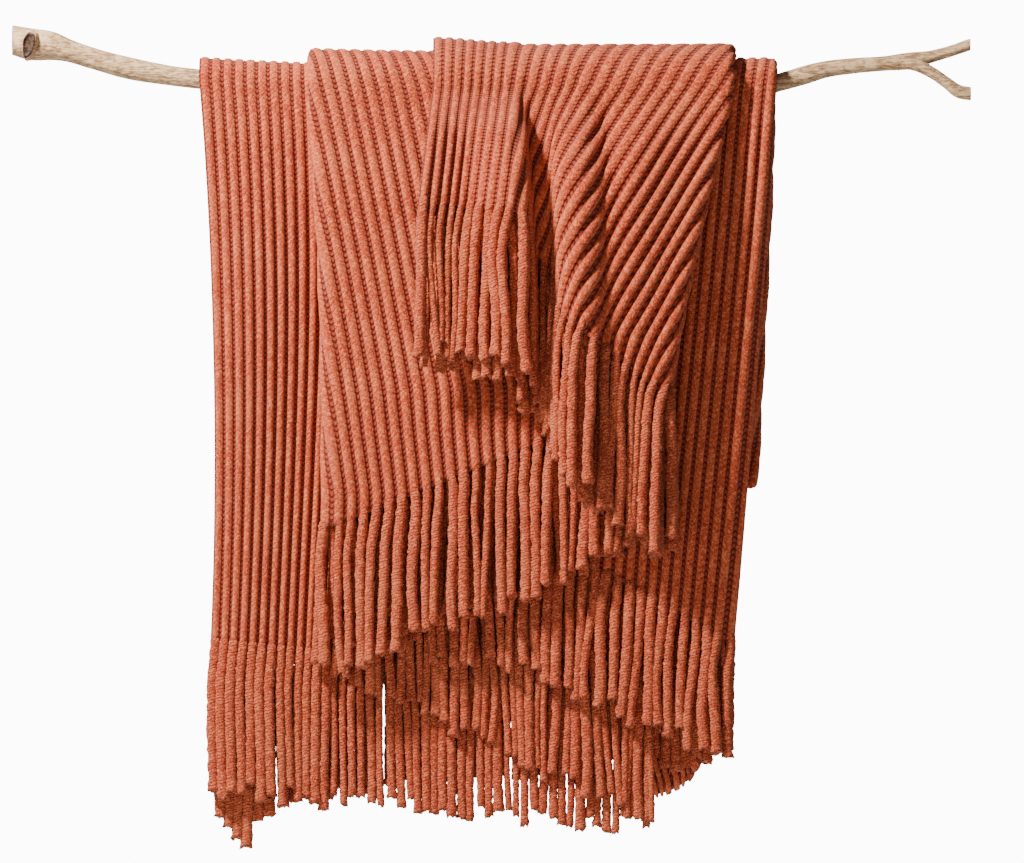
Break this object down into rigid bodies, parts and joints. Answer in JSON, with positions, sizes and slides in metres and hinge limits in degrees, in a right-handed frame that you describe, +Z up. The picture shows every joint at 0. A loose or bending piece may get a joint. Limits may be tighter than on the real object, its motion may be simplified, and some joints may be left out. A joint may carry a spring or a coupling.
{
  "type": "knit throw blanket on a branch",
  "caption": "Rib-knit fringed throw, doubled and folded into four panels, hung over a bare forked branch.",
  "frame": {"origin": "centre of the sawn left end of the branch, where the branch is held", "axes": "+X along the branch towards its forked end, +Z up, the fringed ends hang on the -Y side"},
  "size_m": [0.674, 0.1424, 0.5864],
  "materials": {
    "yarn": "matt chenille rib knit",
    "fringe": "matt chenille cord",
    "wood": "bare dry wood"
  },
  "bodies": {
    "root": {"cloth": "yarn", "fringe_outer": "fringe", "fringe_inner": "fringe", "branch": "wood"}
  },
  "joints": []
}
